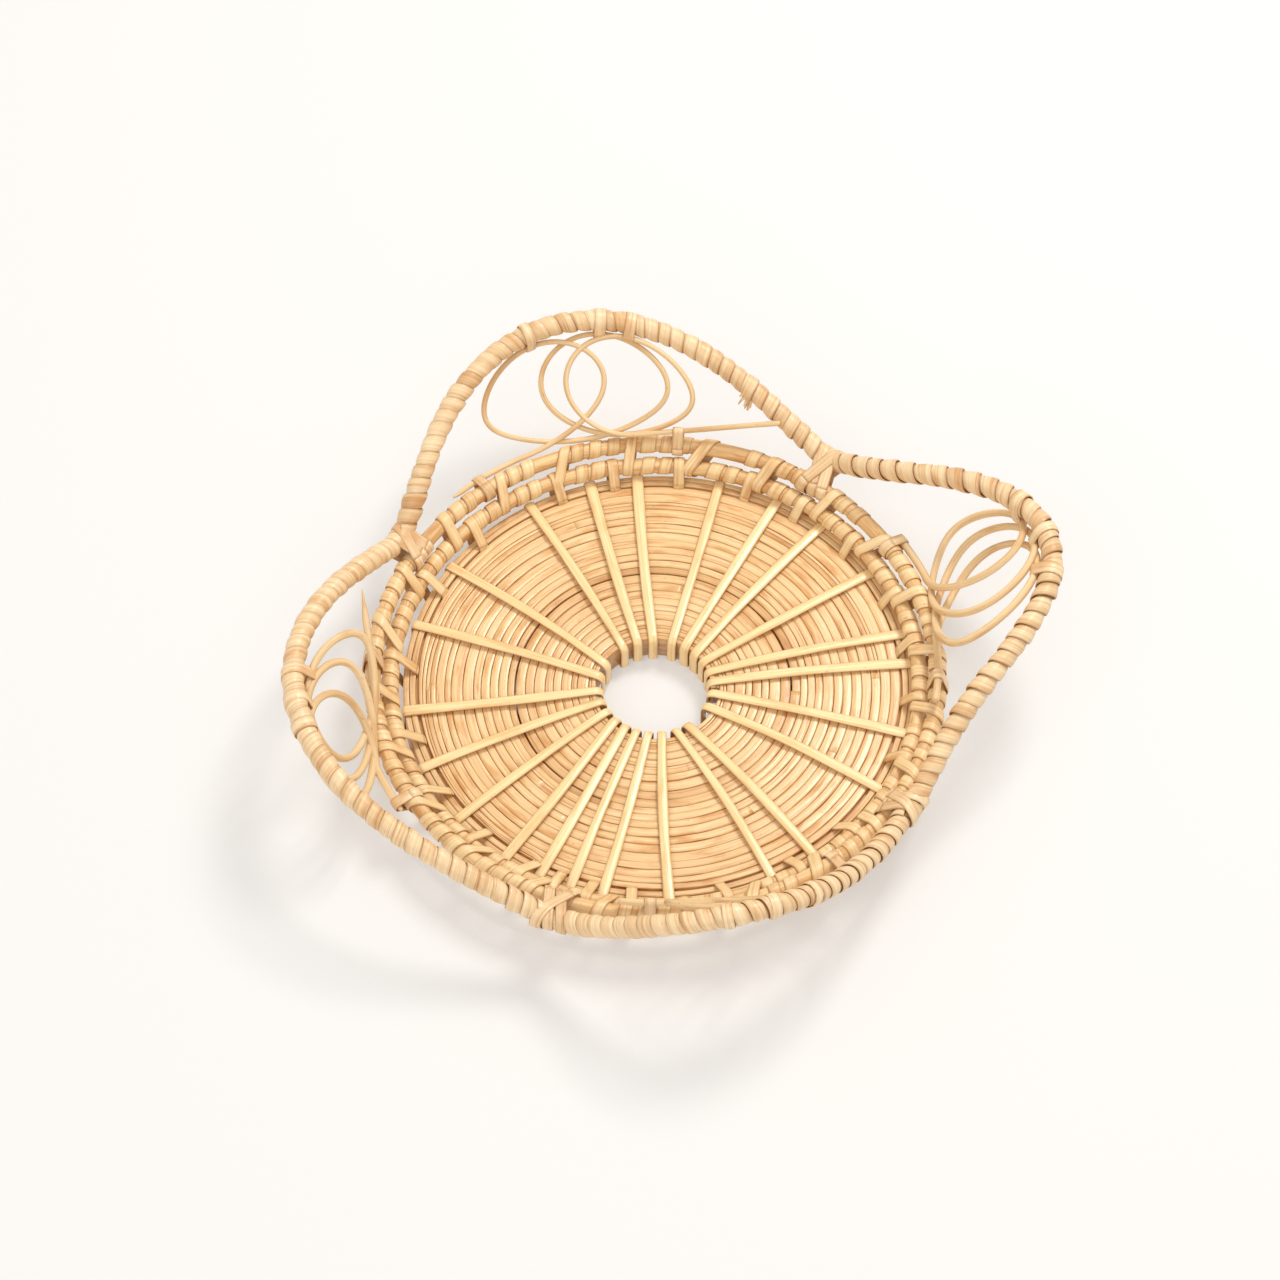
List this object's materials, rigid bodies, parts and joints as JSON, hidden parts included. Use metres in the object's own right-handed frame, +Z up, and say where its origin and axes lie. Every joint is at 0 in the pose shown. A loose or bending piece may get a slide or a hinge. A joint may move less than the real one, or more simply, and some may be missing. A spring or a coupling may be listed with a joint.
{
  "type": "woven basket",
  "caption": "Shallow round rattan basket: coiled base with a centre hole, two bound hoops, and a flared scalloped rim filled with looped reeds.",
  "frame": {"origin": "on the surface that the basket stands on, under the middle of its outline", "axes": "+Z up, +Y to the back, +X to the basket's right"},
  "size_m": [0.1921, 0.184, 0.0422],
  "materials": {
    "coil_strip": "natural, satin, with brown streaks",
    "hoop_strip": "natural brown, satin",
    "binding_cane": "glossy outer skin of the cane",
    "ring_core": "natural, matt",
    "lashing_cane": "glossy outer skin of the cane",
    "rim_rod": "natural, matt",
    "rim_cane": "satin outer skin of the cane",
    "scroll_reed": "peeled reed, satin"
  },
  "bodies": {
    "root": {"base_coil_1": "coil_strip", "base_coil_2": "coil_strip", "base_coil_3": "coil_strip", "base_coil_4": "coil_strip", "base_coil_5": "coil_strip", "base_coil_6": "coil_strip", "binding_cane_01": "binding_cane", "binding_cane_02": "binding_cane", "binding_cane_03": "binding_cane", "binding_cane_04": "binding_cane", "binding_cane_05": "binding_cane", "binding_cane_06": "binding_cane", "binding_cane_07": "binding_cane", "binding_cane_08": "binding_cane", "binding_cane_09": "binding_cane", "binding_cane_10": "binding_cane", "binding_cane_11": "binding_cane", "binding_cane_12": "binding_cane", "binding_cane_13": "binding_cane", "binding_cane_14": "binding_cane", "binding_cane_15": "binding_cane", "binding_cane_16": "binding_cane", "binding_cane_17": "binding_cane", "binding_cane_18": "binding_cane", "binding_cane_19": "binding_cane", "binding_cane_20": "binding_cane", "binding_cane_21": "binding_cane", "binding_cane_22": "binding_cane", "binding_cane_23": "binding_cane", "edge_hoop_inner": "hoop_strip", "edge_hoop_outer": "hoop_strip", "edge_lashings": "lashing_cane", "inner_ring_core": "ring_core", "inner_ring_turns": "lashing_cane", "knot_lashing_back_left": "lashing_cane", "knot_lashing_back_right": "lashing_cane", "knot_lashing_front_left": "lashing_cane", "knot_lashing_front_right": "lashing_cane", "outer_ring_core": "ring_core", "outer_ring_turns": "lashing_cane", "rim_rod_back": "rim_rod", "rim_rod_front": "rim_rod", "rim_rod_left": "rim_rod", "rim_rod_right": "rim_rod", "rim_wrap_back": "rim_cane", "rim_wrap_front": "rim_cane", "rim_wrap_left": "rim_cane", "rim_wrap_right": "rim_cane", "ring_bridges": "lashing_cane", "scroll_back": "scroll_reed", "scroll_front": "scroll_reed", "scroll_left": "scroll_reed", "scroll_right": "scroll_reed", "scroll_ties": "lashing_cane"}
  },
  "joints": []
}
